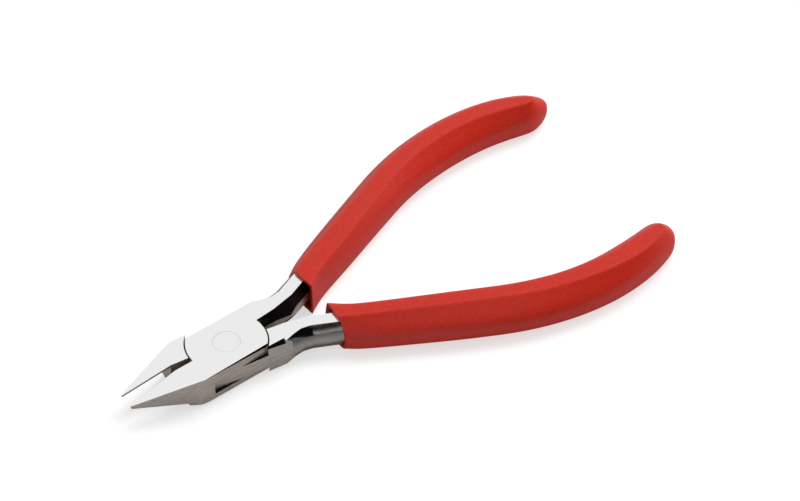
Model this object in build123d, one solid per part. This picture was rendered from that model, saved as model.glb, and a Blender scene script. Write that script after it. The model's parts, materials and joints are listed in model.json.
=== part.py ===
"""Box-joint diagonal side cutter with dipped grips, modelled slightly open.

Each half is drawn once in the closed plan: x runs from the pivot towards the
grips, the jaw lies below the x axis and the tang above it. The slotted half is
that plan turned by half the opening. The through half is its mirror image.
"""

from build123d import *
import os
from math import asin, cos, radians, sin, sqrt, tan

# Joint and head, in millimetres
HEAD_THICKNESS = 6.4
HEAD_HALF_WIDTH = 5.6
PLATE_RADIUS = 7.9
SHOULDER_GAP = 0.3
TOP_CHEEK = 2.05
BOTTOM_CHEEK = 1.2
CHEEK_CLEARANCE = 0.04
SLOT_END_WALL = 1.0
WEB_END_GAP = 0.2
SIDE_BEVEL_JAW = 0.05
SIDE_BEVEL_MIDDLE = 0.4
SIDE_BEVEL_TANG = 0.8
SIDE_BEVEL_DROP = 1.0
OPENING_AT_REST = 7.7

# Jaws
JAW_LENGTH = 22.4
JAW_TIP_WIDTH = 0.3
JAW_TIP_HEIGHT = 1.3
JAW_SHOULDER_LENGTH = 9.2
JAW_SHOULDER_RADIUS = 6.0
TAPER_START_EDGE = 12.0
TAPER_START_SIDE = 9.8
EDGE_GAP = 0.04
EDGE_LAND = 0.45
CUTTING_BEVEL = 42.0

# Pivot rivet
RIVET_RADIUS = 2.0
RIVET_HEAD_RADIUS = 2.7
RIVET_COUNTERSINK = 0.8
RIVET_CLEARANCE = 0.03

# Tangs: one flat edge towards the other tang, one rounded edge outside
NECK_GAP = 0.25
NECK_RADIUS = 20.0
TANG_HALF_WIDTH = 2.6
TANG_FLAT = 1.25
TANG_LAND = 1.5

# Where the rounding starts behind the joint, and its later stations:
# distance from its start, width across the top and depth down the side
ROUNDING_START = 1.7
ROUNDING_STATIONS = ((0.0, 0.03, 0.05), (2.1, 0.85, 2.0), (4.0, 1.5, 3.0), (6.0, 1.65, 3.2))
ROUNDING_OUTSIDE = 0.02

# Inside the sleeve the tang goes on as a plain eight-sided bar
CORE_START = 3.0

# The inner bevel: distance from the pivot and width across the top, and the
# height over the middle at which it ends
INNER_STATIONS = ((4.9, 0.6), (12.2, 1.1), (17.2, 1.4))
INNER_BEVEL_LAND = 1.0

# Grip route in plan
ROUTE_START = (21.5, 5.3)
ROUTE_ANGLE = 20.8
ROUTE_STRAIGHT = 31.0
ROUTE_RADIUS_FRONT = 62.0
ROUTE_RADIUS_REAR = 42.0
ROUTE_END_ANGLE = 22.0

# Sleeve: cut square to the tool and narrower there, with half-widths given
# for the outer and the inner side
SLEEVE_WALL_TOP = 0.7
SLEEVE_FLAT = 1.8
SLEEVE_HALF_WIDTH = 4.8
SLEEVE_BEVEL_DROP = 0.9
MOUTH_X = 21.2
MOUTH_BEFORE = 3.5
MOUTH_WIDTHS = (3.0, 3.9)
SWELL_AT = 4.0
SWELL_WIDTHS = (4.1, 4.3)
FULL_WIDTH_AT = 18.0
MOUTH_GAP = 0.25
MOUTH_GAP_INSIDE = 0.75
MOUTH_GAP_DEPTH = 1.6

# Sizes that follow from the ones above
HALF_THICKNESS = HEAD_THICKNESS / 2
SHOULDER_RADIUS = PLATE_RADIUS + SHOULDER_GAP
SLOT_RADIUS = PLATE_RADIUS + SLOT_END_WALL
WEB_RADIUS = SLOT_RADIUS - WEB_END_GAP
SLOT_TOP = HALF_THICKNESS - TOP_CHEEK
SLOT_BOTTOM = BOTTOM_CHEEK - HALF_THICKNESS
SLEEVE_HALF_THICKNESS = HALF_THICKNESS + SLEEVE_WALL_TOP
SLEEVE_SHOULDER = SLEEVE_HALF_THICKNESS - SLEEVE_BEVEL_DROP
BEYOND = 5.0

lean = radians(ROUTE_ANGLE)
tang_reach = TANG_HALF_WIDTH / cos(lean)
rounding_x = SHOULDER_RADIUS + ROUNDING_START


def route_y(x):
    """Height of the straight part of the grip route over the x axis."""
    return ROUTE_START[1] + (x - ROUTE_START[0]) * tan(lean)


def neck_corner(y):
    """Where the tang's side, met at the given height, turns off along the route."""
    return ROUTE_START[0] + (y - ROUTE_START[1]) / tan(lean)


def outer_side(x):
    """Height of the outer side of head, neck and tang."""
    start = neck_corner(HEAD_HALF_WIDTH - tang_reach) - NECK_RADIUS * tan(lean / 2)
    if x <= start:
        return HEAD_HALF_WIDTH
    if x < start + NECK_RADIUS * sin(lean):
        return HEAD_HALF_WIDTH + NECK_RADIUS - sqrt(NECK_RADIUS**2 - (x - start) ** 2)
    return route_y(x) + tang_reach


def inner_side(x):
    """Height of the inner side of neck and tang."""
    return max(NECK_GAP, route_y(x) - tang_reach)


def route_point(along):
    """A point on the route's straight run, measured from the sleeve's start."""
    return Vector(ROUTE_START[0] + along * cos(lean), ROUTE_START[1] + along * sin(lean))


def grip_route(start_at):
    """A straight run, then two tangent arcs that bring the grip back inwards."""
    run = Line(route_point(start_at), route_point(ROUTE_STRAIGHT))
    front = JernArc(run @ 1, run % 1, ROUTE_RADIUS_FRONT, -ROUTE_ANGLE)
    rear = JernArc(front @ 1, front % 1, ROUTE_RADIUS_REAR, -ROUTE_END_ANGLE)
    return Wire([run, front, rear])


def section_plane(route, at):
    """A plane across the route: its x points outwards and its y points up."""
    tangent = route % at
    return Plane(origin=route @ at, x_dir=(-tangent.Y, tangent.X, 0), z_dir=tangent)


def straight_plane(along):
    """The same plane at a distance along the straight run."""
    x_dir = (-sin(lean), cos(lean), 0)
    return Plane(origin=route_point(along), x_dir=x_dir, z_dir=(cos(lean), sin(lean), 0))


def slab(face, low, high):
    """The face in plan, filled from the low to the high level."""
    return extrude(Pos(0, 0, low) * face, high - low)


def disc(radius, low, high):
    return Pos(0, 0, (low + high) / 2) * Cylinder(radius, high - low)


def head_strip(radius, low, high):
    """The round part of the joint, with its two sides ground flat."""
    strip = Box(4 * radius, 2 * HEAD_HALF_WIDTH, 4 * HEAD_THICKNESS)
    return disc(radius, low, high) & strip


def jaw_outline():
    """Plan of the jaw: a straight cutting edge and a side that runs to the tip."""
    edge = -EDGE_GAP / 2
    side = FilletPolyline(
        (0, -HEAD_HALF_WIDTH),
        (-JAW_SHOULDER_LENGTH, -HEAD_HALF_WIDTH),
        (-JAW_LENGTH, edge - JAW_TIP_WIDTH),
        radius=JAW_SHOULDER_RADIUS,
    )
    close = Polyline(side @ 1, (-JAW_LENGTH, edge), (0, edge), (0, -HEAD_HALF_WIDTH))
    return make_face([side, close])


def neck_outline():
    """Plan of the tang between the joint and the first stretch of the grip."""
    end_x = ROUTE_START[0] + BEYOND
    outer = FilletPolyline(
        (0, HEAD_HALF_WIDTH),
        (neck_corner(HEAD_HALF_WIDTH - tang_reach), HEAD_HALF_WIDTH),
        (end_x, route_y(end_x) + tang_reach),
        radius=NECK_RADIUS,
    )
    inner = Polyline(
        outer @ 1,
        (end_x, route_y(end_x) - tang_reach),
        (neck_corner(NECK_GAP + tang_reach), NECK_GAP),
        (0, NECK_GAP),
        (0, HEAD_HALF_WIDTH),
    )
    return make_face([outer, inner])


def across(x):
    """A plane across the tool, with x along the tool's y and y up."""
    return Plane(origin=(x, 0, 0), x_dir=(0, 1, 0), z_dir=(1, 0, 0))


def corner_tool(stations):
    """A lofted wedge that takes a top corner off along x.

    Each station gives x, then the two points (y, z) where the bevel leaves the
    top face and where it meets the side.
    """
    sections = []
    for x, top, side in stations:
        run = (side[0] - top[0], side[1] - top[1])
        start = (top[0] - run[0], top[1] - run[1])
        end = (side[0] + run[0], side[1] + run[1])
        sections.append(across(x) * make_face(Polyline(start, end, (end[0], start[1]), close=True)))
    return loft(sections, ruled=True)


def rounding_arc(top_y, side_y, depth):
    """An arc from the top face that runs out upright on the side."""
    top = HALF_THICKNESS
    width = side_y - top_y
    radius = (width**2 + depth**2) / (2 * width)
    half = asin(min(1, depth / radius)) / 2
    middle = (side_y - radius + radius * cos(half), top - depth + radius * sin(half))
    return ThreePointArc((top_y, top), middle, (side_y, top - depth))


def rounding_tool():
    """What lies outside the rounded outer edge of neck and tang, on the top side."""
    stations = [(rounding_x + at, width, depth) for at, width, depth in ROUNDING_STATIONS]
    tang_width = (TANG_HALF_WIDTH - TANG_FLAT) / cos(lean)
    stations.append((ROUTE_START[0], tang_width, HALF_THICKNESS))
    stations.append((ROUTE_START[0] + BEYOND, tang_width, HALF_THICKNESS))
    sections = []
    for x, width, depth in stations:
        side = outer_side(x) + ROUNDING_OUTSIDE
        arc = rounding_arc(side - width, side, depth)
        far, high = side + BEYOND, HALF_THICKNESS + BEYOND
        rest = Polyline(arc @ 1, (far, (arc @ 1).Y), (far, high), (side - width, high), arc @ 0)
        sections.append(across(x) * make_face([arc, rest]))
    return loft(sections, ruled=True)


def inner_bevel_tool():
    """What lies outside the polished bevel between the two tangs, on the top side."""
    top = HALF_THICKNESS
    tang_width = (TANG_HALF_WIDTH - TANG_FLAT) / cos(lean)
    stations = list(INNER_STATIONS)
    stations += [(ROUTE_START[0], tang_width), (ROUTE_START[0] + BEYOND, tang_width)]
    return corner_tool([
        (x, (inner_side(x) + width, top), (inner_side(x), INNER_BEVEL_LAND)) for x, width in stations
    ])


def both_faces(tool):
    """The tool and its twin on the underside."""
    return tool + mirror(tool, about=Plane.XY)


def side_bevel(side, stations):
    """A narrow ground bevel along the top edge of a flat side of the head."""
    edge = side * HEAD_HALF_WIDTH
    low = HALF_THICKNESS - SIDE_BEVEL_DROP
    return corner_tool([
        (x, (edge - side * width, HALF_THICKNESS), (edge + side * SIDE_BEVEL_DROP, low - width))
        for x, width in stations
    ])


def taper_slope():
    """Fall of the jaw's top face towards the tip."""
    return (HALF_THICKNESS - JAW_TIP_HEIGHT / 2) / (JAW_LENGTH - TAPER_START_EDGE)


def jaw_taper():
    """What lies above the sloping top face of the jaw."""
    skew = (TAPER_START_EDGE - TAPER_START_SIDE) / HEAD_HALF_WIDTH
    slope = taper_slope()
    normal = Vector(-slope, -slope * skew, 1).normalized()
    crease = Plane(origin=(-TAPER_START_EDGE, 0, HALF_THICKNESS), x_dir=(skew, -1, 0), z_dir=normal)
    size = 3 * JAW_LENGTH
    return crease * Pos(0, 0, size / 2) * Box(size, size, size)


def cutting_bevel():
    """The hollow under the cutting edge, parallel to the sloping top face."""
    low = -HEAD_THICKNESS
    edge = -EDGE_GAP / 2
    sections = []
    for x in (-TAPER_START_EDGE, -JAW_LENGTH - BEYOND):
        high = HALF_THICKNESS + (x + TAPER_START_EDGE) * taper_slope() - EDGE_LAND
        foot = edge - (high - low) * tan(radians(CUTTING_BEVEL))
        outline = Polyline((edge, high), (BEYOND, high), (BEYOND, low), (foot, low), close=True)
        sections.append(across(x) * make_face(outline))
    return loft(sections, ruled=True)


def tang_section(outer_play=0, inner_play=0):
    """Eight-sided section of the tang, or of the sleeve's mouth with play round it."""
    high = HALF_THICKNESS + outer_play
    flat = TANG_FLAT + outer_play
    outer = TANG_HALF_WIDTH + outer_play
    inner = -TANG_HALF_WIDTH - inner_play
    land = TANG_LAND
    upper = [(inner, land), (-flat, high), (flat, high), (outer, land)]
    lower = [(y, -z) for y, z in reversed(upper)]
    return make_face(Polyline(*upper, *lower, close=True))


def sleeve_side(half_width):
    """One side of the sleeve's section, from the top flat to the bottom flat.

    At the full width it is round about the route, so that the end is a ball.
    """
    top = SLEEVE_HALF_THICKNESS
    full_bevel = sqrt(SLEEVE_HALF_WIDTH**2 - SLEEVE_SHOULDER**2) - SLEEVE_FLAT
    share = full_bevel / (SLEEVE_HALF_WIDTH - SLEEVE_FLAT)
    shoulder = (SLEEVE_FLAT + share * (half_width - SLEEVE_FLAT), SLEEVE_SHOULDER)
    return [
        Polyline((0, top), (SLEEVE_FLAT, top), shoulder),
        ThreePointArc(shoulder, (half_width, 0), (shoulder[0], -shoulder[1])),
        Polyline((shoulder[0], -shoulder[1]), (SLEEVE_FLAT, -top), (0, -top)),
    ]


def half_section(half_width):
    middle = Line((0, -SLEEVE_HALF_THICKNESS), (0, SLEEVE_HALF_THICKNESS))
    return make_face(sleeve_side(half_width) + [middle])


def sleeve_section(outer, inner):
    return half_section(outer) + mirror(half_section(inner), about=Plane.YZ)


def common_half():
    """Jaw and tang of one half, before the joint is cut."""
    low, high = -HALF_THICKNESS, HALF_THICKNESS
    jaw = slab(jaw_outline(), low, high)
    taper = jaw_taper()
    jaw = jaw - taper - mirror(taper, about=Plane.XY) - cutting_bevel()
    neck = slab(neck_outline(), low, high)
    neck = neck - both_faces(rounding_tool()) - both_faces(inner_bevel_tool())
    route = grip_route(CORE_START)
    core = sweep(section_plane(route, 0) * tang_section(), path=route)
    return jaw, neck + core


def slotted_half():
    """The half whose two cheeks hold the other one between them."""
    low, high = -HALF_THICKNESS, HALF_THICKNESS
    jaw, tang = common_half()
    half = head_strip(PLATE_RADIUS, low, high) + jaw + tang
    half -= disc(SLOT_RADIUS, SLOT_BOTTOM, SLOT_TOP)
    bevel = side_bevel(-1, [(-SLOT_RADIUS, SIDE_BEVEL_JAW), (PLATE_RADIUS, SIDE_BEVEL_MIDDLE)])
    return half - bevel - rivet()


def through_half():
    """The half whose thinner web passes through the slot."""
    low, high = -HALF_THICKNESS, HALF_THICKNESS
    jaw, tang = common_half()
    half = jaw + tang - disc(SHOULDER_RADIUS, 2 * low, 2 * high)
    half += head_strip(WEB_RADIUS, SLOT_BOTTOM + CHEEK_CLEARANCE, SLOT_TOP - CHEEK_CLEARANCE)
    bevel = side_bevel(1, [(SHOULDER_RADIUS / 2, SIDE_BEVEL_MIDDLE / 2), (rounding_x, SIDE_BEVEL_TANG)])
    return half - bevel - disc(RIVET_RADIUS + RIVET_CLEARANCE, low, high)


def rivet():
    """Shaft with two countersunk heads, ground flush with the cheeks."""
    top = HALF_THICKNESS
    head = Polyline(
        (0, -top), (RIVET_HEAD_RADIUS, -top), (RIVET_RADIUS, RIVET_COUNTERSINK - top),
        (RIVET_RADIUS, top - RIVET_COUNTERSINK), (RIVET_HEAD_RADIUS, top), (0, top), close=True,
    )
    return revolve(Plane.XZ * make_face(head), axis=Axis.Z)


def sleeve(half):
    """Soft sleeve with a rounded end, dipped over the tang of the given half."""
    full = SLEEVE_HALF_WIDTH
    stations = [(-MOUTH_BEFORE, *MOUTH_WIDTHS), (SWELL_AT, *SWELL_WIDTHS), (FULL_WIDTH_AT, full, full)]
    body = loft(
        [straight_plane(along) * sleeve_section(outer, inner) for along, outer, inner in stations],
        ruled=True,
    )
    route = grip_route(FULL_WIDTH_AT)
    body += sweep(section_plane(route, 0) * sleeve_section(full, full), path=route)
    end_axis = Axis(route @ 1, (0, 0, 1))
    body += revolve(section_plane(route, 1) * half_section(full), axis=end_axis, revolution_arc=-180)
    before = Box(2 * JAW_LENGTH, 4 * JAW_LENGTH, 4 * HEAD_THICKNESS)
    body -= Pos(MOUTH_X - JAW_LENGTH, 0, 0) * before
    opening = straight_plane(-MOUTH_BEFORE) * tang_section(MOUTH_GAP, MOUTH_GAP_INSIDE)
    mouth = extrude(opening, MOUTH_BEFORE + MOUTH_GAP_DEPTH)
    return body - mouth - half


def place_slotted(shape):
    return Pos(0, 0, HALF_THICKNESS) * Rot(0, 0, OPENING_AT_REST / 2) * shape


def place_through(shape):
    twin = mirror(shape, about=Plane.XZ)
    return Pos(0, 0, HALF_THICKNESS) * Rot(0, 0, -OPENING_AT_REST / 2) * twin


def main():
    os.makedirs("parts", exist_ok=True)
    slotted = slotted_half()
    through = through_half()
    nodes = {
        "slotted_half": place_slotted(slotted),
        "through_half": place_through(through),
        "pivot_rivet": Pos(0, 0, HALF_THICKNESS) * rivet(),
        "slotted_half_sleeve": place_slotted(sleeve(slotted)),
        "through_half_sleeve": place_through(sleeve(through)),
    }
    for name, shape in nodes.items():
        export_step(shape, f"parts/{name}.step")


main()
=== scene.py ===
"""Looks of a box-joint side cutter: ground and polished steel halves, a flush
rivet and two dipped grips, on a pale floor in soft light."""

import json
from math import atan2, cos, exp, pi, radians, sin

import bpy
from bpy.props import FloatProperty, FloatVectorProperty, PointerProperty
from mathutils import Matrix, Vector

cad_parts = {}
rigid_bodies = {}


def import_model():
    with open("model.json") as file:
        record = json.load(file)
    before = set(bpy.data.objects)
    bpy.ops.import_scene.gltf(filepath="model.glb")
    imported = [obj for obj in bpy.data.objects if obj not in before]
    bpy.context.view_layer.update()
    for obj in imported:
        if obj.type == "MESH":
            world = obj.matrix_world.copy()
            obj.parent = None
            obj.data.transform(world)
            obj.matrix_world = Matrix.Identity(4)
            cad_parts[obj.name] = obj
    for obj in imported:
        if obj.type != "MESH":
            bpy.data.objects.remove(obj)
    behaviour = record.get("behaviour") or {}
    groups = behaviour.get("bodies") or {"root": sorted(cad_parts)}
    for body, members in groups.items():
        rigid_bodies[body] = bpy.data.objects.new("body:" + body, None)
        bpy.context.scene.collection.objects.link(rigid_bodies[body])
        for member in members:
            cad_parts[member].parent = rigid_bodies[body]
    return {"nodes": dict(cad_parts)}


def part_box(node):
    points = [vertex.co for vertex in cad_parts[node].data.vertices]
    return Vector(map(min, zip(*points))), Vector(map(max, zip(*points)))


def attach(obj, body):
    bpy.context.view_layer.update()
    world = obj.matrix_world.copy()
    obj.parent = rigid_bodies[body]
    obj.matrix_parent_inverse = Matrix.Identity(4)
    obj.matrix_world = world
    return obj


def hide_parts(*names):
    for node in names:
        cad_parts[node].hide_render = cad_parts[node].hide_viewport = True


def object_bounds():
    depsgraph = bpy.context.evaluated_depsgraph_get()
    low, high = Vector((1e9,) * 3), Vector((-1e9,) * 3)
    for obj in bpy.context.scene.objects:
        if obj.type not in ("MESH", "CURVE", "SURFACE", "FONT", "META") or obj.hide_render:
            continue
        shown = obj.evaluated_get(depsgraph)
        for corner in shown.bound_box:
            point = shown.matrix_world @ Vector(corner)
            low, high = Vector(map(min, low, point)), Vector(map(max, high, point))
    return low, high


bl_info = {
    "name": "Box-joint side cutter",
    "version": (1, 0, 0),
    "blender": (4, 5, 0),
    "location": "View3D > Sidebar > Cutter",
    "description": "Dresses the packed side cutter: steel, rivet, dipped grips, stage",
    "category": "Object",
}

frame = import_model()
CAD_LOW, CAD_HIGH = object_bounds()

MM = 0.001
UP = Vector((0, 0, 1))

# The middle of the joint's height, and the point that the lamps are aimed at
RIVET_LOW, RIVET_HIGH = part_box("pivot_rivet")
MID_HEIGHT = (RIVET_LOW.z + RIVET_HIGH.z) / 2
LIT_POINT = Vector((30 * MM, 0, 0))

# Width of the photograph in pixels
PHOTO_WIDTH = 800

# The floor lies just under the tool, so that the two never share a face
FLOOR_HEIGHT = CAD_LOW.z - 0.05 * MM
FLOOR_SIDE = 6

# Points nearer than this count as one: in a test, in the steel, in a sleeve's skin
SAME_PLACE = 0.01 * MM
STEEL_MERGE = 0.0005 * MM
SKIN_MERGE = 0.002 * MM

# How far a face looks up or down: more than LEVEL is a flat, less than SHEER a wall
LEVEL = 0.9
SHEER = 0.15

# The four finishes of the steel, in the order of the pieces' materials
# The last finish is painted dark: painted shade inside the joint, painted reflection on the inner bevels
GROUND, BELT_GROUND, POLISHED, PAINTED_DARK = range(4)

# Noise mostly lies in this span, which each finish maps onto its own
NOISE_SPAN = {"From Min": 0.3, "From Max": 0.7}

# Each dipped sleeve from its mouth to its rounded end, in millimetres: the
# distance along the grip, then half-widths measured from the route of its
# inner side, inner flat edge, outer flat edge and outer side
SLOTTED_STATIONS = (
    (0.0, 4.0, 3.8, 1.0, 3.3),
    (3.5, 3.6, 2.85, 1.5, 4.0),
    (12.0, 3.85, 2.7, 1.6, 4.65),
    (30.0, 4.2, 1.7, 1.9, 5.05),
    (45.0, 4.8, 1.3, 2.15, 5.3),
    (56.0, 4.95, 1.45, 1.9, 5.3),
    (66.0, 4.4, 1.75, 1.6, 5.1),
    (69.6, 3.95, 1.6, 0.8, 4.9),
)
THROUGH_STATIONS = (
    (0.0, 4.15, 3.5, 0.7, 3.3),
    (3.5, 4.45, 2.4, 0.8, 4.1),
    (12.0, 4.5, 2.2, 0.9, 4.7),
    (24.0, 4.5, 2.2, 1.0, 5.35),
    (38.0, 4.5, 2.1, 1.1, 5.4),
    (50.0, 4.7, 2.0, 1.4, 5.0),
    (60.0, 4.95, 2.0, 1.9, 4.15),
    (66.0, 4.6, 1.85, 1.9, 3.6),
    (69.6, 4.3, 0.9, 1.3, 3.2),
)

# The bulge of a sleeve's side, from the top flat down to the bottom one: how
# far out from the flat's edge, as a share of the way to the side, and how high,
# as a share of half the sleeve's height
SIDE_BULGE = (
    (0.29, 0.78), (0.63, 0.54), (0.91, 0.27), (1, 0), (1, -0.33), (0.93, -0.66), (0.62, -0.92),
)

# Spacing of a sleeve's rings along the straight run, close at the mouth, their
# number round each bend and round the end, and how often its skin is divided
RUN_STEPS = (0.6, 0.9, 1.5, 2.5, 3.5, 5.0, 5.5, 5.75, 5.75)
FRONT_STEPS = 8
REAR_STEPS = 6
END_STEPS = 8
SKIN_LEVELS = 2


def linear(text):
    """Linear colour of an sRGB hex value."""
    channels = [int(text[i:i + 2], 16) / 255 for i in (1, 3, 5)]
    return [c / 12.92 if c <= 0.04045 else ((c + 0.055) / 1.055) ** 2.4 for c in channels]


def distance(name, default, description):
    """A length in metres that a user may change."""
    return FloatProperty(name=name, default=default, description=description, unit="LENGTH", precision=5)


def angle(name, default, description):
    """An angle that a user may change, given in degrees."""
    return FloatProperty(name=name, default=radians(default), description=description, unit="ROTATION")


def number(name, default, description):
    """A plain number that a user may change."""
    return FloatProperty(name=name, default=default, description=description, precision=3)


def direction(name, default, description):
    """The way from the tool to something, which a user may change."""
    return FloatVectorProperty(
        name=name, default=default, description=description, subtype="DIRECTION", size=3,
    )


def colour(name, default, description):
    """A colour that a user may change, given in sRGB hex."""
    return FloatVectorProperty(
        name=name, default=linear(default), description=description,
        subtype="COLOR", size=3, min=0, max=1,
    )


class CutterGripSizes(bpy.types.PropertyGroup):
    """Route and section of the dipped grips, in the plan of the closed tool."""
    start_x: distance("Start X", 0.0215, "Distance of the route's start from the pivot")
    start_y: distance("Start Y", 0.0053, "Distance of the route's start from the tool's middle")
    lean: angle("Lean", 20.8, "Angle of the straight run away from the tool's middle")
    straight: distance("Straight run", 0.031, "Length of the grip's straight run")
    front_radius: distance("Front radius", 0.062, "Radius of the first bend")
    rear_radius: distance("Rear radius", 0.042, "Radius of the bend at the end")
    end_angle: angle("End angle", 22.0, "How far the end turns back inwards")
    opening: angle("Opening", 3.85, "Half the opening of the tool at rest")
    mouth_x: distance("Mouth X", 0.0212, "Distance of the square-cut mouth from the pivot")
    mouth_run: distance("Mouth run", 0.006, "Length over which the sections turn square to the grip")
    mouth_depth: distance("Mouth depth", 0.0018, "How far the open mouth reaches in")
    wall: distance("Wall", 0.0006, "Thickness of the dipped skin at the mouth")
    half_width: distance("Half width", 0.0048, "Half the width of the section before it is eased")
    half_height: distance("Half height", 0.0039, "Half the height of the sleeve")
    flat: distance("Flat", 0.0018, "Half the width of the flat before it is eased")
    end_slotted: number("Slotted end", 1.02, "Length of the rounded end against half its width")
    end_through: number("Through end", 1.08, "Length of the rounded end against half its width")
    flat_end_slotted: number("Slotted flat's end", 2.2, "Length of the flat's end against half its width")
    flat_end_through: number("Through flat's end", 0.7, "Length of the flat's end against half its width")
    lump: number("Lump", 0.5, "How much longer the slotted end is at its lump, against half its width")
    lump_bearing: angle("Lump bearing", 68.4, "Where the lump lies, from the grip's outer side")
    lump_spread: angle("Lump spread", 42.97, "How far round the end the lump reaches")
    flat_crease: number("Flat's crease", 0.85, "Sharpness of the edges of the flats")
    rim_crease: number("Rim's crease", 0.6, "Sharpness of the edges of the mouth")


class CutterSteelSizes(bpy.types.PropertyGroup):
    """Edges of the steel, and where its finishes change."""
    edge_break: distance("Edge break", 0.00007, "Width of the broken edges of the ground steel")
    break_angle: angle("Break angle", 20, "Edges that turn further than this are broken")
    crisp_angle: angle("Crisp angle", 50, "Edges that turn further than this are shaded crisp")
    flat_angle: angle("Flat angle", 0.4, "Faces that turn less than this become one")
    head_end: distance("Head end", 0.0098, "Distance from the pivot at which the polished necks start")
    slot_reach: distance("Slot reach", 0.0023, "Half the height of the space inside the joint")


class CutterColours(bpy.types.PropertyGroup):
    """Colours of the finishes and of the stage."""
    plate: colour("Ground face", "#E4E3E3", "Steel of the flat ground faces")
    side: colour("Ground side", "#D6CBC2", "Steel of the coarser ground sides")
    polished: colour("Polished", "#C9C5C0", "Steel of the polished necks and bevels")
    grip: colour("Grip", "#CC240E", "Dipped red plastic")
    # Painted dark: painted shade inside the joint and painted reflection on the inner bevels
    scale: colour("Painted shade and reflection", "#2A2928", "Dark steel painted as shade inside the joint and as reflection on the inner bevels")
    floor: colour("Floor", "#BCBCBC", "The floor under the tool")
    card: colour("Card", "#191A1C", "The dark card that the polished steel reflects")


class CutterStageSizes(bpy.types.PropertyGroup):
    """The camera, the lamps and what surrounds the tool."""
    azimuth: angle("Azimuth", -34.545, "Camera's angle round the tool")
    elevation: angle("Elevation", 44.637, "Camera's angle above the floor")
    roll: angle("Roll", -0.287, "Camera's turn about its own axis")
    away: distance("Distance", 0.54113, "Distance of the camera from the point it looks at")
    look_x: distance("Look X", 0.043036, "Place along the tool that the camera looks at")
    look_y: distance("Look Y", 0.004034, "Place across the tool that the camera looks at")
    pixels: number("Focal length", 2724.5, "In pixels of the picture")
    key_from: direction("Key from", (0.5, 0.2, 0.84), "Way to the key lamp")
    key_away: distance("Key distance", 0.9, "Distance of the key lamp from the tool")
    key_side: distance("Key side", 0.5, "Side of the square key lamp")
    key_radiance: number("Key radiance", 6.7, "Brightness of the key lamp's face")
    fill_from: direction("Fill from", (0.87, -0.30, 0.38), "Way to the fill lamp")
    fill_away: distance("Fill distance", 0.8, "Distance of the fill lamp from the tool")
    fill_side: distance("Fill side", 0.4, "Side of the square fill lamp")
    fill_radiance: number("Fill radiance", 3.0, "Brightness of the fill lamp's face")
    card_toward: direction("Card toward", (0.4055, -0.8, 0.467), "Way to the dark card")
    card_away: distance("Card distance", 0.6, "Distance of the card from the pivot")
    card_width: distance("Card width", 1.0, "Width of the card")
    card_height: distance("Card height", 0.62, "Height of the card")
    sky_light: number("Sky light", 0.32, "Strength of the sky as a light")
    sky_seen: number("Sky seen", 1.08, "Strength of the sky where it is seen or reflected")
    floor_seen: number("Floor seen", 0.62, "How much the floor glows where the camera sees it")
    floor_bounce: number("Floor bounce", 0.34, "How much the floor glows as a light on the tool")


def deselect():
    """Leaves nothing selected, as an operator acts on all that is."""
    for item in bpy.context.view_layer.objects:
        item.select_set(False)


def work_on(item):
    """Makes one object the only selected one, ready for operators."""
    deselect()
    item.select_set(True)
    bpy.context.view_layer.objects.active = item


def edit(item):
    """Opens one object in edit mode."""
    work_on(item)
    bpy.ops.object.mode_set(mode="EDIT")


def done():
    """Closes edit mode."""
    bpy.ops.object.mode_set(mode="OBJECT")


def pick_edges(item, test):
    """Selects the edges that pass a test, in edit mode."""
    bpy.ops.mesh.select_all(action="DESELECT")
    bpy.ops.mesh.select_mode(type="EDGE")
    bpy.ops.object.mode_set(mode="OBJECT")
    for edge in item.data.edges:
        edge.select = test(edge)
    bpy.ops.object.mode_set(mode="EDIT")


def add_node(tree, kind, inputs=None, **settings):
    """Adds a shader node with its settings, and its values or links by socket."""
    made = tree.nodes.new(kind)
    for name, value in settings.items():
        setattr(made, name, value)
    for name, value in (inputs or {}).items():
        if isinstance(value, bpy.types.NodeSocket):
            tree.links.new(value, made.inputs[name])
        else:
            made.inputs[name].default_value = value
    return made


def new_material(name):
    """An empty node material and its tree."""
    material = bpy.data.materials.new(name)
    material.use_nodes = True
    tree = material.node_tree
    tree.nodes.clear()
    return material, tree


def ground_steel():
    """Surface-ground tool steel: bright, satin, with faint lines along the tool.

    The lines are drawn coarser than a fine wheel leaves them, so that they show.
    """
    colours = bpy.context.scene.cutter_colours
    material, tree = new_material("tool_steel_surface_ground")
    place = add_node(tree, "ShaderNodeTexCoord").outputs["Object"]
    length, spacing = 9 * MM, 0.25 * MM
    lines = add_node(tree, "ShaderNodeMapping", {
        "Vector": place, "Scale": (1 / length, 1 / spacing, 1 / spacing),
    })
    grain = add_node(tree, "ShaderNodeTexNoise", {
        "Vector": lines.outputs["Vector"], "Scale": 1.0, "Detail": 3.0, "Roughness": 0.6,
    })
    roughness = add_node(tree, "ShaderNodeMapRange", {
        "Value": grain.outputs["Fac"], **NOISE_SPAN, "To Min": 0.17, "To Max": 0.25,
    })
    bump = add_node(tree, "ShaderNodeBump", {
        "Height": grain.outputs["Fac"], "Strength": 0.12, "Distance": 0.01 * MM,
    })
    shader = add_node(tree, "ShaderNodeBsdfPrincipled", {
        "Base Color": (*colours.plate, 1), "Metallic": 1.0,
        "Roughness": roughness.outputs["Result"], "Normal": bump.outputs["Normal"],
    })
    add_node(tree, "ShaderNodeOutputMaterial", {"Surface": shader.outputs["BSDF"]})
    return material


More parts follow.
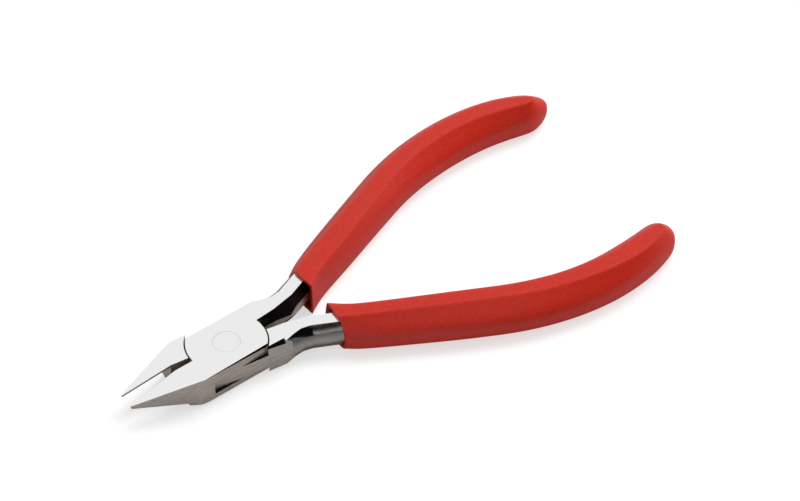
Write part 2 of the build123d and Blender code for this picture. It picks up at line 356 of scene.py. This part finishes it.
def belt_ground_steel():
    """Coarser belt-ground sides of the same steel: duller, grey-brown, streaked.

    The streaks are drawn coarser than the belt's grit, so that they show.
    """
    colours = bpy.context.scene.cutter_colours
    material, tree = new_material("tool_steel_belt_ground")
    place = add_node(tree, "ShaderNodeTexCoord").outputs["Object"]
    length, spacing = 5 * MM, 0.3 * MM
    lines = add_node(tree, "ShaderNodeMapping", {
        "Vector": place, "Scale": (1 / length, 1 / spacing, 1 / spacing),
    })
    grain = add_node(tree, "ShaderNodeTexNoise", {
        "Vector": lines.outputs["Vector"], "Scale": 1.0, "Detail": 4.0, "Roughness": 0.65,
    })
    roughness = add_node(tree, "ShaderNodeMapRange", {
        "Value": grain.outputs["Fac"], **NOISE_SPAN, "To Min": 0.35, "To Max": 0.5,
    })
    bump = add_node(tree, "ShaderNodeBump", {
        "Height": grain.outputs["Fac"], "Strength": 0.3, "Distance": 0.02 * MM,
    })
    streak = add_node(tree, "ShaderNodeMapRange", {
        "Value": grain.outputs["Fac"], **NOISE_SPAN, "To Min": 0.78, "To Max": 1.2,
    })
    tint = add_node(tree, "ShaderNodeVectorMath", {
        0: colours.side, "Scale": streak.outputs["Result"],
    }, operation="SCALE")
    shader = add_node(tree, "ShaderNodeBsdfPrincipled", {
        "Base Color": tint.outputs["Vector"], "Metallic": 1.0,
        "Roughness": roughness.outputs["Result"], "Normal": bump.outputs["Normal"],
    })
    add_node(tree, "ShaderNodeOutputMaterial", {"Surface": shader.outputs["BSDF"]})
    return material


def polished_steel():
    """Buffed necks and bevels: near mirrors, with a painted reflection that darkens them towards the top.
    """
    colours = bpy.context.scene.cutter_colours
    material, tree = new_material("tool_steel_polished")
    place = add_node(tree, "ShaderNodeTexCoord").outputs["Object"]
    patch = 0.8 * MM
    # Heights between which the painted reflection darkens the tint
    full_tint_below, painted_dark_above = 2.9 * MM, 5.0 * MM
    grain = add_node(tree, "ShaderNodeTexNoise", {"Vector": place, "Scale": 1 / patch, "Detail": 3.0})
    roughness = add_node(tree, "ShaderNodeMapRange", {
        "Value": grain.outputs["Fac"], **NOISE_SPAN, "To Min": 0.12, "To Max": 0.2,
    })
    height = add_node(tree, "ShaderNodeSeparateXYZ", {"Vector": place}).outputs["Z"]
    # Painted reflection: the tint darkens with height, standing in for the dark that the necks reflect
    painted_reflection_dimming = add_node(tree, "ShaderNodeMapRange", {
        "Value": height, "From Min": full_tint_below, "From Max": painted_dark_above, "To Min": 1.0, "To Max": 0.35,
    }, interpolation_type="SMOOTHSTEP")
    tint = add_node(tree, "ShaderNodeVectorMath", {
        0: colours.polished, "Scale": painted_reflection_dimming.outputs["Result"],
    }, operation="SCALE")
    shader = add_node(tree, "ShaderNodeBsdfPrincipled", {
        "Base Color": tint.outputs["Vector"], "Metallic": 1.0, "Roughness": roughness.outputs["Result"],
    })
    add_node(tree, "ShaderNodeOutputMaterial", {"Surface": shader.outputs["BSDF"]})
    return material


def dark_painted_steel():
    """Painted shade and reflection: almost black, half matt steel in the joint and on inner bevels."""
    colours = bpy.context.scene.cutter_colours
    material, tree = new_material("tool_steel_painted_dark")
    place = add_node(tree, "ShaderNodeTexCoord").outputs["Object"]
    patch = 0.5 * MM
    grain = add_node(tree, "ShaderNodeTexNoise", {"Vector": place, "Scale": 1 / patch, "Detail": 3.0})
    roughness = add_node(tree, "ShaderNodeMapRange", {
        "Value": grain.outputs["Fac"], **NOISE_SPAN, "To Min": 0.4, "To Max": 0.6,
    })
    shader = add_node(tree, "ShaderNodeBsdfPrincipled", {
        "Base Color": (*colours.scale, 1), "Metallic": 1.0, "Roughness": roughness.outputs["Result"],
    })
    add_node(tree, "ShaderNodeOutputMaterial", {"Surface": shader.outputs["BSDF"]})
    return material


def dipped_plastic():
    """Plasticised PVC, dipped: satin, slightly soft, with a fine mottled skin."""
    colours = bpy.context.scene.cutter_colours
    material, tree = new_material("dipped_pvc_satin")
    place = add_node(tree, "ShaderNodeTexCoord").outputs["Object"]
    patch = 0.3 * MM
    mottle = add_node(tree, "ShaderNodeTexNoise", {"Vector": place, "Scale": 1 / patch, "Detail": 2.0})
    shade = add_node(tree, "ShaderNodeMapRange", {
        "Value": mottle.outputs["Fac"], **NOISE_SPAN, "To Min": 0.8, "To Max": 1.14,
    })
    tint = add_node(tree, "ShaderNodeVectorMath", {
        0: colours.grip, "Scale": shade.outputs["Result"],
    }, operation="SCALE")
    bump = add_node(tree, "ShaderNodeBump", {
        "Height": mottle.outputs["Fac"], "Strength": 0.2, "Distance": 0.02 * MM,
    })
    shader = add_node(tree, "ShaderNodeBsdfPrincipled", {
        "Base Color": tint.outputs["Vector"], "Roughness": 0.42, "Specular IOR Level": 0.45,
        "Normal": bump.outputs["Normal"],
    })
    add_node(tree, "ShaderNodeOutputMaterial", {"Surface": shader.outputs["BSDF"]})
    return material


def finish_of(sizes, face, inward):
    """Which finish a face has, by the way it faces and its place along the tool."""
    lift, depth = abs(face.normal.z), abs(face.center.z - MID_HEIGHT)
    on_head = face.center.x <= sizes.head_end
    # Level faces inside the joint get the dark steel painted as shade; other level faces are ground
    if lift > LEVEL:
        return PAINTED_DARK if on_head and depth < sizes.slot_reach else GROUND
    if on_head:
        return BELT_GROUND if lift < SHEER else POLISHED
    # Inward bevels off the head get the dark steel painted as a reflection; inward walls are belt ground
    if face.normal.y * inward > SHEER:
        return BELT_GROUND if lift < SHEER else PAINTED_DARK
    return POLISHED


def steel_copy(node, name, body, inward):
    """A merged copy of a steel node with broken edges, finished face by face.

    inward is the sign of Y on the side where the other half's neck is, or 0.
    """
    sizes = bpy.context.scene.cutter_steel
    piece = bpy.data.objects.new(name, frame["nodes"][node].data.copy())
    bpy.context.scene.collection.objects.link(piece)
    piece.data.materials.clear()
    edit(piece)
    bpy.ops.mesh.select_all(action="SELECT")
    bpy.ops.mesh.remove_doubles(threshold=STEEL_MERGE)
    bpy.ops.mesh.dissolve_limited(angle_limit=sizes.flat_angle)
    done()
    rounding = piece.modifiers.new("broken edges", "BEVEL")
    rounding.width = sizes.edge_break
    rounding.segments = 2
    rounding.limit_method = "ANGLE"
    rounding.angle_limit = sizes.break_angle
    work_on(piece)
    bpy.ops.object.modifier_apply(modifier=rounding.name)
    bpy.ops.object.shade_smooth_by_angle(angle=sizes.crisp_angle)
    even = piece.modifiers.new("even normals", "WEIGHTED_NORMAL")
    even.keep_sharp = True
    bpy.ops.object.modifier_apply(modifier=even.name)
    for finish in (ground_steel(), belt_ground_steel(), polished_steel(), dark_painted_steel()):
        piece.data.materials.append(finish)
    for face in piece.data.polygons:
        face.material_index = finish_of(sizes, face, inward)
    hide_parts(node)
    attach(piece, body)


class CUTTER_OT_slotted_half(bpy.types.Operator):
    """Finish the half whose cheeks hold the other one"""
    bl_idname = "cutter.slotted_half"
    bl_label = "Slotted half"

    def execute(self, context):
        steel_copy("slotted_half", "slotted_half_steel", "slotted", -1)
        return {"FINISHED"}


class CUTTER_OT_through_half(bpy.types.Operator):
    """Finish the half that passes through the joint"""
    bl_idname = "cutter.through_half"
    bl_label = "Through half"

    def execute(self, context):
        steel_copy("through_half", "through_half_steel", "through", 1)
        return {"FINISHED"}


class CUTTER_OT_rivet(bpy.types.Operator):
    """Finish the flush pivot rivet"""
    bl_idname = "cutter.rivet"
    bl_label = "Pivot rivet"

    def execute(self, context):
        steel_copy("pivot_rivet", "pivot_rivet_steel", "slotted", 0)
        return {"FINISHED"}


def camera(context):
    """The photograph's view: from above, from the tips' end and the through grip's side."""
    sizes = context.scene.cutter_stage
    azimuth, elevation, roll = sizes.azimuth, sizes.elevation, sizes.roll
    level = Vector((cos(azimuth), sin(azimuth), 0))
    back = Vector((sin(azimuth) * cos(elevation), -cos(azimuth) * cos(elevation), sin(elevation)))
    rise = back.cross(level)
    right = level * cos(roll) + rise * sin(roll)
    up = rise * cos(roll) - level * sin(roll)
    lens = bpy.data.cameras.new("camera")
    lens.sensor_width = 36.0
    lens.lens = sizes.pixels * lens.sensor_width / PHOTO_WIDTH
    lens.clip_start, lens.clip_end = 0.01, 20
    made = bpy.data.objects.new("camera", lens)
    context.scene.collection.objects.link(made)
    turn = Matrix((right, up, back)).transposed().to_4x4()
    place = Vector((sizes.look_x, sizes.look_y, MID_HEIGHT)) + back * sizes.away
    made.matrix_world = Matrix.Translation(place) @ turn
    context.scene.camera = made


def soft_light(context, name, toward, away, side, radiance):
    """A square soft box that looks at the tool; its power follows its brightness.

    The polished steel reflects the even sky and the card, and not the lamps.
    """
    lamp = bpy.data.lights.new(name, "AREA")
    lamp.shape = "SQUARE"
    lamp.size = side
    lamp.energy = radiance * pi * side ** 2
    made = bpy.data.objects.new(name, lamp)
    context.scene.collection.objects.link(made)
    toward = toward.normalized()
    made.location = LIT_POINT + toward * away
    made.rotation_euler = toward.to_track_quat("Z", "Y").to_euler()
    made.visible_glossy = False


def new_plane(name, side):
    """A flat square at the origin."""
    deselect()
    bpy.ops.mesh.primitive_plane_add(size=side)
    made = bpy.context.object
    made.name = name
    return made


def lay_floor(sizes, colours):
    """The pale floor: it keeps the tool's shadow and lights the tool from below."""
    floor = new_plane("floor", FLOOR_SIDE)
    floor.data.transform(Matrix.Translation((0, 0, FLOOR_HEIGHT)))
    material, tree = new_material("floor_matt_white")
    rays = add_node(tree, "ShaderNodeLightPath").outputs
    paint = add_node(tree, "ShaderNodeBsdfDiffuse", {"Color": (*colours.floor, 1)})
    bounced = add_node(tree, "ShaderNodeMath", {
        0: rays["Is Diffuse Ray"], 1: sizes.floor_bounce,
    }, operation="MULTIPLY")
    bright = add_node(tree, "ShaderNodeMath", {
        0: rays["Is Camera Ray"], 1: sizes.floor_seen, 2: bounced.outputs[0],
    }, operation="MULTIPLY_ADD")
    glow = add_node(tree, "ShaderNodeEmission", {"Color": (1, 1, 1, 1), "Strength": bright.outputs[0]})
    both = add_node(tree, "ShaderNodeAddShader", {0: paint.outputs[0], 1: glow.outputs[0]})
    add_node(tree, "ShaderNodeOutputMaterial", {"Surface": both.outputs[0]})
    floor.data.materials.append(material)


def hang_card(sizes, colours):
    """A dark card that only reflections see: it darkens what the polished necks show."""
    card = new_plane("dark_card", 1)
    toward = sizes.card_toward.normalized()
    turn = toward.to_track_quat("Z", "Y").to_matrix().to_4x4()
    shape = Matrix.Diagonal((sizes.card_width, sizes.card_height, 1, 1))
    card.data.transform(Matrix.Translation(toward * sizes.card_away) @ turn @ shape)
    card.visible_camera = card.visible_diffuse = card.visible_shadow = False
    material, tree = new_material("card_matt_black")
    paint = add_node(tree, "ShaderNodeBsdfDiffuse", {"Color": (*colours.card, 1)})
    add_node(tree, "ShaderNodeOutputMaterial", {"Surface": paint.outputs[0]})
    card.data.materials.append(material)


def light_sky(context, sizes):
    """An even white sky: soft as a light, and white where it is seen or reflected."""
    world = bpy.data.worlds.new("studio")
    world.use_nodes = True
    tree = world.node_tree
    tree.nodes.clear()
    rays = add_node(tree, "ShaderNodeLightPath").outputs
    either = add_node(tree, "ShaderNodeMath", {
        0: rays["Is Camera Ray"], 1: rays["Is Glossy Ray"],
    }, operation="MAXIMUM")
    seen = add_node(tree, "ShaderNodeMath", {
        0: either.outputs[0], 1: rays["Is Transmission Ray"],
    }, operation="MAXIMUM")
    strength = add_node(tree, "ShaderNodeMapRange", {
        "Value": seen.outputs[0], "To Min": sizes.sky_light, "To Max": sizes.sky_seen,
    })
    sky = add_node(tree, "ShaderNodeBackground", {
        "Color": (1, 1, 1, 1), "Strength": strength.outputs[0],
    })
    add_node(tree, "ShaderNodeOutputWorld", {"Surface": sky.outputs[0]})
    context.scene.world = world


class CUTTER_OT_stage(bpy.types.Operator):
    """Set up the floor, the soft light and the camera"""
    bl_idname = "cutter.stage"
    bl_label = "Stage"

    def execute(self, context):
        sizes, colours = context.scene.cutter_stage, context.scene.cutter_colours
        lay_floor(sizes, colours)
        light_sky(context, sizes)
        soft_light(context, "key", sizes.key_from, sizes.key_away, sizes.key_side, sizes.key_radiance)
        soft_light(context, "fill", sizes.fill_from, sizes.fill_away, sizes.fill_side, sizes.fill_radiance)
        hang_card(sizes, colours)
        camera(context)
        context.scene.view_settings.view_transform = "Standard"
        return {"FINISHED"}


def half_ring(sizes):
    """Half the sleeve's section, from the middle of the top round to the bottom."""
    side = sizes.half_width - sizes.flat
    bulge = [(sizes.flat + out * side, rise) for out, rise in SIDE_BULGE]
    points = [(0, 1), (sizes.flat, 1), *bulge, (sizes.flat, -1), (0, -1)]
    return [(y, z * sizes.half_height) for y, z in points]


def end_ways(sizes):
    """The ways ahead and to the outer side at the end of the route."""
    turn = Matrix.Rotation(-sizes.lean - sizes.end_angle, 3, "Z")
    return turn @ Vector((1, 0, 0)), turn @ Vector((0, 1, 0))


def route_centres(sizes):
    """Centres of the two bends and the end, in the grip's own frame along x."""
    front = Vector((sizes.straight, -sizes.front_radius, 0))
    heading = Matrix.Rotation(-sizes.lean, 3, "Z")
    rear = front + heading @ Vector((0, sizes.front_radius - sizes.rear_radius, 0))
    outward = end_ways(sizes)[1]
    return front, rear, rear + outward * sizes.rear_radius


def on_route(sizes, point):
    """Distance along the route, the route's turn there, and the point's offset."""
    if point.x <= sizes.straight:
        return point.x, 0.0, point.y
    front, rear, _ = route_centres(sizes)
    in_plan = Vector((point.x, point.y, 0))
    turn = atan2(in_plan.x - front.x, in_plan.y - front.y)
    if turn <= sizes.lean:
        run = sizes.straight + sizes.front_radius * turn
        return run, turn, (in_plan - front).length - sizes.front_radius
    turn = atan2(in_plan.x - rear.x, in_plan.y - rear.y)
    run = sizes.straight + sizes.front_radius * sizes.lean + sizes.rear_radius * (turn - sizes.lean)
    return run, turn, (in_plan - rear).length - sizes.rear_radius


def eased(stations, run, column):
    """A smooth curve through one column of the stations, in metres."""
    rows = [[value * MM for value in row] for row in stations]
    run = min(max(run, rows[0][0]), rows[-1][0])
    start = max(i for i in range(len(rows) - 1) if rows[i][0] <= run)
    slopes = []
    for i in (start, start + 1):
        before, after = rows[max(i - 1, 0)], rows[min(i + 1, len(rows) - 1)]
        slopes.append((after[column] - before[column]) / (after[0] - before[0]))
    gap = rows[start + 1][0] - rows[start][0]
    part = (run - rows[start][0]) / gap
    low, high = rows[start][column], rows[start + 1][column]
    return (
        low * (1 + 2 * part) * (1 - part) ** 2 + high * part * part * (3 - 2 * part)
        + gap * part * (1 - part) * (slopes[0] * (1 - part) - slopes[1] * part)
    )


def eased_size(sizes, stations, run, size, share):
    """Moves a distance from the route in the plain section to its place in the eased one.

    share is 1 on the outer side, 0 on the inner one, and between them round the end.
    """
    inner, inner_flat, outer_flat, outer = [eased(stations, run, column) for column in (1, 2, 3, 4)]
    flat = share * outer_flat + (1 - share) * inner_flat
    side = share * outer + (1 - share) * inner
    if size <= sizes.flat:
        return flat * size / sizes.flat
    return flat + (side - flat) * (size - sizes.flat) / (sizes.half_width - sizes.flat)


def eased_end(sizes, stations, from_end, end_reach, flat_reach):
    """Where a point of the rounded end goes, from the end's centre."""
    ahead, outward = end_ways(sizes)
    bearing = atan2(from_end.dot(ahead), from_end.dot(outward))
    share = (1 + cos(bearing)) / 2
    size, flat, side = [
        eased_size(sizes, stations, stations[-1][0] * MM, plain, share)
        for plain in (from_end.length, sizes.flat, sizes.half_width)
    ]
    past = max(0.0, size - flat) / (side - flat)
    reach = min(size, flat) * flat_reach + past * (side * end_reach(bearing) - flat * flat_reach)
    return outward * size * cos(bearing) + ahead * reach * sin(bearing)


def eased_run(sizes, stations, point, inside):
    """Where a point along the route goes; inside the mouth it leaves room for the wall."""
    run, turn, offset = on_route(sizes, point)
    outer = offset > 0
    size = eased_size(sizes, stations, run, abs(offset), 1.0 if outer else 0.0)
    if inside and size > sizes.wall:
        size -= sizes.wall
    out = Matrix.Rotation(-turn, 3, "Z") @ Vector((0, 1, 0))
    on_line = Vector((point.x, point.y, 0)) - out * offset
    offset = size if outer else -size
    square = max(0.0, 1 - max(run, 0.0) / sizes.mouth_run)
    skew = (sizes.mouth_x - sizes.start_x + offset * sin(sizes.lean)) / cos(sizes.lean)
    return on_line + out * offset + Vector((skew * square, 0, 0))


def ease_sleeve(sizes, piece, stations, end_reach, flat_reach, cavity):
    """Gives the swept section its real widths, mouth and end; returns its flat edges.

    The vertices before number cavity line the open mouth.
    """
    end = route_centres(sizes)[2]
    ahead = end_ways(sizes)[0]
    flat_vertices = set()
    for vertex in piece.data.vertices:
        point = vertex.co.copy()
        inside = vertex.index < cavity
        from_end = Vector((point.x - end.x, point.y - end.y, 0))
        if from_end.dot(ahead) > SAME_PLACE:
            plain = from_end.length
            moved = end + eased_end(sizes, stations, from_end, end_reach, flat_reach)
        else:
            plain = abs(on_route(sizes, point)[2])
            moved = eased_run(sizes, stations, point, inside)
        on_face = abs(abs(point.z) - sizes.half_height) < SAME_PLACE
        if inside:
            point.z *= 1 - sizes.wall / sizes.half_height
        elif on_face and abs(plain - sizes.flat) < SAME_PLACE:
            flat_vertices.add(vertex.index)
        vertex.co = (moved.x, moved.y, point.z)
    return flat_vertices


def swept_sleeve(sizes, name, ring):
    """The plain sleeve: one section extruded, spun round two bends and closed."""
    front, rear, end = route_centres(sizes)
    ahead, outward = end_ways(sizes)
    deselect()
    bpy.ops.mesh.primitive_circle_add(vertices=len(ring), radius=sizes.half_width)
    piece = bpy.context.object
    piece.name = name
    for vertex, (y, z) in zip(piece.data.vertices, ring):
        vertex.co = (sizes.mouth_depth, y, z)
    edit(piece)
    bpy.ops.mesh.select_mode(type="EDGE")
    bpy.ops.mesh.select_all(action="SELECT")
    bpy.ops.mesh.edge_face_add()
    stretch = sizes.straight / sum(RUN_STEPS)
    for step in (-sizes.mouth_depth, 0, *(step * stretch for step in RUN_STEPS)):
        bpy.ops.mesh.extrude_edges_indiv()
        bpy.ops.transform.translate(value=(step, 0, 0))
    bpy.ops.mesh.spin(steps=FRONT_STEPS, angle=sizes.lean, center=front, axis=UP)
    bpy.ops.mesh.spin(steps=REAR_STEPS, angle=sizes.end_angle, center=rear, axis=UP)
    done()

    def on_outer_half(vertex):
        gap = vertex.co - end
        return abs(gap.dot(ahead)) < SAME_PLACE and gap.dot(outward) > -SAME_PLACE

    last = {vertex.index for vertex in piece.data.vertices if on_outer_half(vertex)}
    edit(piece)
    pick_edges(piece, lambda edge: last.issuperset(edge.vertices))
    bpy.ops.mesh.spin(steps=END_STEPS, angle=pi, center=end, axis=UP)
    done()
    return piece


def sleeve(context, name, node, stations, end_reach, flat_reach, side):
    """One dipped sleeve, in the place of its node; side is 1 for the +Y grip, or -1."""
    sizes = context.scene.cutter_grip
    half = half_ring(sizes)
    ring = half + [(-y, z) for y, z in reversed(half[1:-1])]
    count = len(ring)
    piece = swept_sleeve(sizes, name, ring)
    flat_vertices = ease_sleeve(sizes, piece, stations, end_reach, flat_reach, cavity=2 * count)

    # The first ring closes the mouth inside, and the next two are its rim
    inner_rim, outer_rim = set(range(count, 2 * count)), set(range(2 * count, 3 * count))
    edit(piece)
    pick_edges(piece, lambda edge: flat_vertices.issuperset(edge.vertices))
    bpy.ops.transform.edge_crease(value=sizes.flat_crease)
    pick_edges(piece, lambda edge: (
        inner_rim.issuperset(edge.vertices) or outer_rim.issuperset(edge.vertices)
    ))
    bpy.ops.transform.edge_crease(value=sizes.rim_crease)
    bpy.ops.mesh.select_all(action="SELECT")
    bpy.ops.mesh.remove_doubles(threshold=SKIN_MERGE)
    done()

    start = Matrix.Translation((sizes.start_x, sizes.start_y, 0))
    open_grip = Matrix.Rotation(sizes.opening, 4, "Z") @ start @ Matrix.Rotation(sizes.lean, 4, "Z")
    mirror = Matrix.Diagonal((1, side, 1, 1))
    piece.data.transform(Matrix.Translation((0, 0, MID_HEIGHT)) @ mirror @ open_grip)
    edit(piece)
    bpy.ops.mesh.select_all(action="SELECT")
    bpy.ops.mesh.normals_make_consistent(inside=False)
    done()
    smooth = piece.modifiers.new("smooth skin", "SUBSURF")
    smooth.levels = smooth.render_levels = SKIN_LEVELS
    work_on(piece)
    bpy.ops.object.modifier_apply(modifier=smooth.name)
    bpy.ops.object.shade_smooth()
    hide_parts(node)
    return piece


def plain_end(length):
    """A rounded end of one length all round."""
    return lambda bearing: length


def dripped_end(sizes, length):
    """A rounded end with the small lump that the last of the dip leaves on it."""
    def reach(bearing):
        return length + sizes.lump * exp(-((bearing - sizes.lump_bearing) / sizes.lump_spread) ** 2)

    return reach


class CUTTER_OT_sleeves(bpy.types.Operator):
    """Model the two dipped sleeves"""
    bl_idname = "cutter.sleeves"
    bl_label = "Dipped sleeves"

    def execute(self, context):
        sizes = context.scene.cutter_grip
        plastic = dipped_plastic()
        slotted = sleeve(
            context, "slotted_half_grip", "slotted_half_sleeve",
            SLOTTED_STATIONS, dripped_end(sizes, sizes.end_slotted), sizes.flat_end_slotted, 1,
        )
        through = sleeve(
            context, "through_half_grip", "through_half_sleeve",
            THROUGH_STATIONS, plain_end(sizes.end_through), sizes.flat_end_through, -1,
        )
        for piece, body in ((slotted, "slotted"), (through, "through")):
            piece.data.materials.append(plastic)
            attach(piece, body)
        return {"FINISHED"}


class CUTTER_PT_panel(bpy.types.Panel):
    """Lists the pieces of the cutter"""
    bl_idname = "CUTTER_PT_panel"
    bl_label = "Side cutter"
    bl_space_type = "VIEW_3D"
    bl_region_type = "UI"
    bl_category = "Cutter"

    def draw(self, context):
        for operator in OPERATORS:
            self.layout.operator(operator.bl_idname)


GROUPS = {
    "cutter_grip": CutterGripSizes,
    "cutter_steel": CutterSteelSizes,
    "cutter_colours": CutterColours,
    "cutter_stage": CutterStageSizes,
}
OPERATORS = (
    CUTTER_OT_stage, CUTTER_OT_slotted_half, CUTTER_OT_through_half, CUTTER_OT_rivet, CUTTER_OT_sleeves,
)
CLASSES = (*GROUPS.values(), *OPERATORS, CUTTER_PT_panel)


def register():
    for item in CLASSES:
        bpy.utils.register_class(item)
    for name, group in GROUPS.items():
        setattr(bpy.types.Scene, name, PointerProperty(type=group))


def unregister():
    for name in GROUPS:
        delattr(bpy.types.Scene, name)
    for item in reversed(CLASSES):
        bpy.utils.unregister_class(item)


def main():
    register()
    bpy.ops.cutter.stage()
    bpy.ops.cutter.slotted_half()
    bpy.ops.cutter.through_half()
    bpy.ops.cutter.rivet()
    bpy.ops.cutter.sleeves()


if __name__ == "__main__":
    main()
